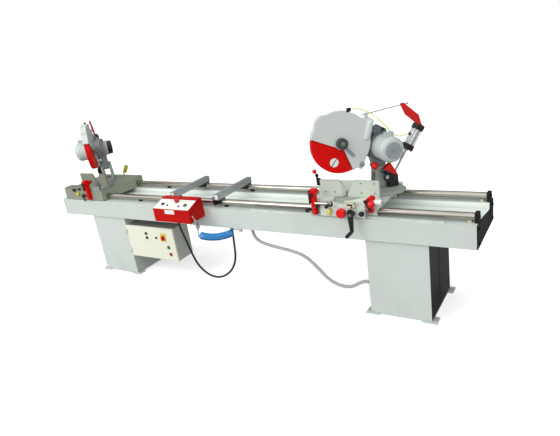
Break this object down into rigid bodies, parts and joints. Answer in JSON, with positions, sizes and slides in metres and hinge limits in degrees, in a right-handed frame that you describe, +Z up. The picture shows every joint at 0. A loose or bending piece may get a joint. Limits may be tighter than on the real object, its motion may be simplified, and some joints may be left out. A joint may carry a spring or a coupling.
{
  "type": "double mitre saw",
  "caption": "Floor-standing double mitre saw: folded bed on pedestals with round rails, a fixed and a sliding saw head, control box, electric cabinet and hoses.",
  "frame": {"origin": "on the floor at the centre of the outer rectangle of anchor holes", "axes": "+X along the bed to the operator's right, +Y away from the operator, +Z up"},
  "size_m": [4.2, 0.7808, 1.553],
  "materials": {
    "pale_paint": "satin powder paint",
    "grey_paint": "satin paint on sheet and castings",
    "base_paint": "satin paint on machined castings",
    "red_paint": "gloss paint",
    "cream_paint": "satin powder paint",
    "case_paint": "satin powder paint",
    "dark_paint": "satin paint",
    "rail_chrome": "ground and chromed",
    "steel": "machined",
    "blade_steel": "ground",
    "aluminium": "extruded, natural",
    "black_plastic": "moulded",
    "red_plastic": "moulded",
    "green_plastic": "moulded",
    "rubber_black": "smooth sheath",
    "hose_grey": "ribbed hose",
    "hose_blue": "polyurethane tube",
    "hose_yellow": "polyurethane tube"
  },
  "bodies": {
    "bed": {"bed_trough": "pale_paint", "bed_end_plates": "dark_paint", "left_pedestal": "pale_paint", "right_pedestal": "pale_paint", "guide_rails": "rail_chrome", "rail_holders": "black_plastic", "gear_rack": "steel", "cabinet_case": "case_paint", "control_box": "red_paint", "cable_glands": "black_plastic", "black_cable": "rubber_black", "grey_hose": "hose_grey", "blue_hose": "hose_blue", "air_gun": "aluminium", "left_base": "base_paint", "left_fence": "pale_paint", "left_clamp": "red_paint"},
    "carriage": {"right_base": "base_paint", "right_fence": "pale_paint", "right_clamp": "red_paint"},
    "cabinet_door": {"cabinet_door": "cream_paint"},
    "main_switch": {"main_switch": "red_plastic"},
    "start_button": {"start_button": "green_plastic"},
    "stop_button": {"stop_button": "red_plastic"},
    "left_panel_button": {"left_panel_button": "black_plastic"},
    "right_panel_button": {"right_panel_button": "black_plastic"},
    "emergency_stop": {"emergency_stop": "red_plastic"},
    "left_support_arm": {"left_support_arm": "aluminium"},
    "right_support_arm": {"right_support_arm": "aluminium"},
    "crank": {"crank": "black_plastic"},
    "carriage_lock": {"carriage_lock": "red_plastic"},
    "air_gun_lever": {"air_gun_lever": "steel"},
    "right_turntable": {"right_turntable": "grey_paint"},
    "right_head": {"right_arm": "grey_paint", "right_blade_guard": "grey_paint", "right_motor": "pale_paint", "right_drive_belt": "rubber_black", "right_air_cylinder": "aluminium", "right_stay_bracket": "red_paint", "right_air_hose": "hose_yellow"},
    "right_lower_guard": {"right_lower_guard": "red_paint"},
    "right_blade": {"right_saw_blade": "blade_steel", "right_spindle": "steel"},
    "right_motor_shaft": {"right_motor_shaft": "steel"},
    "right_piston_rod": {"right_piston_rod": "steel"},
    "right_clamp_rods": {"right_clamp_rods": "steel"},
    "left_turntable": {"left_turntable": "grey_paint"},
    "left_head": {"left_arm": "grey_paint", "left_blade_guard": "grey_paint", "left_motor": "pale_paint", "left_drive_belt": "rubber_black", "left_air_cylinder": "aluminium", "left_stay_bracket": "red_paint", "left_air_hose": "hose_yellow"},
    "left_lower_guard": {"left_lower_guard": "red_paint"},
    "left_blade": {"left_saw_blade": "blade_steel", "left_spindle": "steel"},
    "left_motor_shaft": {"left_motor_shaft": "steel"},
    "left_piston_rod": {"left_piston_rod": "steel"},
    "left_clamp_rods": {"left_clamp_rods": "steel"}
  },
  "joints": [
    {"name": "carriage_slide", "type": "slide", "parent": "bed", "child": "carriage", "axis": [1, 0, 0], "range_m": [-0.8, 0.6]},
    {"name": "crank_turn", "type": "hinge", "parent": "carriage", "child": "crank", "pos_m": [1.219, -0.32, 0.834], "axis": [0, 1, 0], "range_deg": [-1560, 1180]},
    {"name": "carriage_lock_turn", "type": "hinge", "parent": "carriage", "child": "carriage_lock", "pos_m": [1.133, -0.32, 0.834], "axis": [0, 1, 0], "range_deg": [0, 90]},
    {"name": "left_support_slide", "type": "slide", "parent": "bed", "child": "left_support_arm", "axis": [1, 0, 0], "range_m": [-0.7, 0.2]},
    {"name": "right_support_slide", "type": "slide", "parent": "bed", "child": "right_support_arm", "axis": [1, 0, 0], "range_m": [-0.2, 0.06]},
    {"name": "door_hinge", "type": "hinge", "parent": "bed", "child": "cabinet_door", "pos_m": [-1.262, -0.286, 0.38], "axis": [0, 0, -1], "range_deg": [0, 110]},
    {"name": "main_switch_turn", "type": "hinge", "parent": "cabinet_door", "child": "main_switch", "pos_m": [-0.774, -0.29, 0.452], "axis": [0, 1, 0], "range_deg": [0, 90]},
    {"name": "start_button_press", "type": "slide", "parent": "cabinet_door", "child": "start_button", "axis": [0, 1, 0], "range_m": [0, 0.005], "stiffness_N_per_m": 600},
    {"name": "stop_button_press", "type": "slide", "parent": "cabinet_door", "child": "stop_button", "axis": [0, 1, 0], "range_m": [0, 0.005], "stiffness_N_per_m": 600},
    {"name": "left_panel_button_press", "type": "slide", "parent": "bed", "child": "left_panel_button", "axis": [0, 0.3551, -0.9348], "range_m": [0, 0.005], "stiffness_N_per_m": 600},
    {"name": "right_panel_button_press", "type": "slide", "parent": "bed", "child": "right_panel_button", "axis": [0, 0.3551, -0.9348], "range_m": [0, 0.005], "stiffness_N_per_m": 600},
    {"name": "emergency_stop_press", "type": "slide", "parent": "bed", "child": "emergency_stop", "axis": [0, 0.3551, -0.9348], "range_m": [0, 0.005], "stiffness_N_per_m": 600},
    {"name": "air_gun_lever_press", "type": "hinge", "parent": "bed", "child": "air_gun_lever", "pos_m": [-0.16095, -0.43352, 0.7213], "axis": [-0.0737, 0.9268, 0.3683], "range_deg": [0, 8], "stiffness_Nm_per_rad": 0.6},
    {"name": "right_mitre", "type": "hinge", "parent": "carriage", "child": "right_turntable", "pos_m": [1.135, -0.158, 0.89], "axis": [0, 0, 1], "range_deg": [0, 45]},
    {"name": "right_swing", "type": "hinge", "parent": "right_turntable", "child": "right_head", "pos_m": [1.28632, 0.08666, 1.05], "axis": [0.7071, -0.7071, 0], "range_deg": [0, 33]},
    {"name": "right_lower_guard_turn", "type": "hinge", "parent": "right_head", "child": "right_lower_guard", "pos_m": [1.11379, -0.17921, 1.32], "axis": [0.7071, -0.7071, 0], "range_deg": [-121, 0.5]},
    {"name": "right_blade_spin", "type": "hinge", "parent": "right_head", "child": "right_blade", "pos_m": [1.11379, -0.17921, 1.32], "axis": [0.7071, -0.7071, 0], "continuous": true},
    {"name": "right_motor_spin", "type": "hinge", "parent": "right_head", "child": "right_motor_shaft", "pos_m": [1.34218, 0.04918, 1.234], "axis": [0.7071, -0.7071, 0], "continuous": true},
    {"name": "right_piston_slide", "type": "slide", "parent": "right_head", "child": "right_piston_rod", "axis": [-0.4046, -0.4046, -0.8202], "range_m": [-0.0005, 0.0565]},
    {"name": "right_clamp_slide", "type": "slide", "parent": "carriage", "child": "right_clamp_rods", "axis": [0, 1, 0], "range_m": [0, 0.045]},
    {"name": "left_mitre", "type": "hinge", "parent": "bed", "child": "left_turntable", "pos_m": [-1.63, -0.158, 0.89], "axis": [0, 0, -1], "range_deg": [0, 45]},
    {"name": "left_swing", "type": "hinge", "parent": "left_turntable", "child": "left_head", "pos_m": [-1.78132, 0.08666, 1.05], "axis": [0.7071, 0.7071, 0], "range_deg": [0, 33]},
    {"name": "left_lower_guard_turn", "type": "hinge", "parent": "left_head", "child": "left_lower_guard", "pos_m": [-1.60879, -0.17921, 1.32], "axis": [0.7071, 0.7071, 0], "range_deg": [-121, 0.5]},
    {"name": "left_blade_spin", "type": "hinge", "parent": "left_head", "child": "left_blade", "pos_m": [-1.60879, -0.17921, 1.32], "axis": [0.7071, 0.7071, 0], "continuous": true},
    {"name": "left_motor_spin", "type": "hinge", "parent": "left_head", "child": "left_motor_shaft", "pos_m": [-1.83718, 0.04918, 1.234], "axis": [0.7071, 0.7071, 0], "continuous": true},
    {"name": "left_piston_slide", "type": "slide", "parent": "left_head", "child": "left_piston_rod", "axis": [0.4046, -0.4046, -0.8202], "range_m": [-0.0005, 0.0565]},
    {"name": "left_clamp_slide", "type": "slide", "parent": "bed", "child": "left_clamp_rods", "axis": [0, 1, 0], "range_m": [0, 0.045]}
  ],
  "couplings": [
    {"joint": "crank_turn", "follows": "carriage_slide", "rad_per_m": 33.333},
    {"joint": "right_lower_guard_turn", "follows": "right_swing", "ratio": -3.6364},
    {"joint": "right_motor_spin", "follows": "right_blade_spin", "ratio": 0.8},
    {"joint": "right_piston_slide", "follows": "right_swing", "m_per_rad": 0.09695},
    {"joint": "left_lower_guard_turn", "follows": "left_swing", "ratio": -3.6364},
    {"joint": "left_motor_spin", "follows": "left_blade_spin", "ratio": 0.8},
    {"joint": "left_piston_slide", "follows": "left_swing", "m_per_rad": 0.09695}
  ]
}
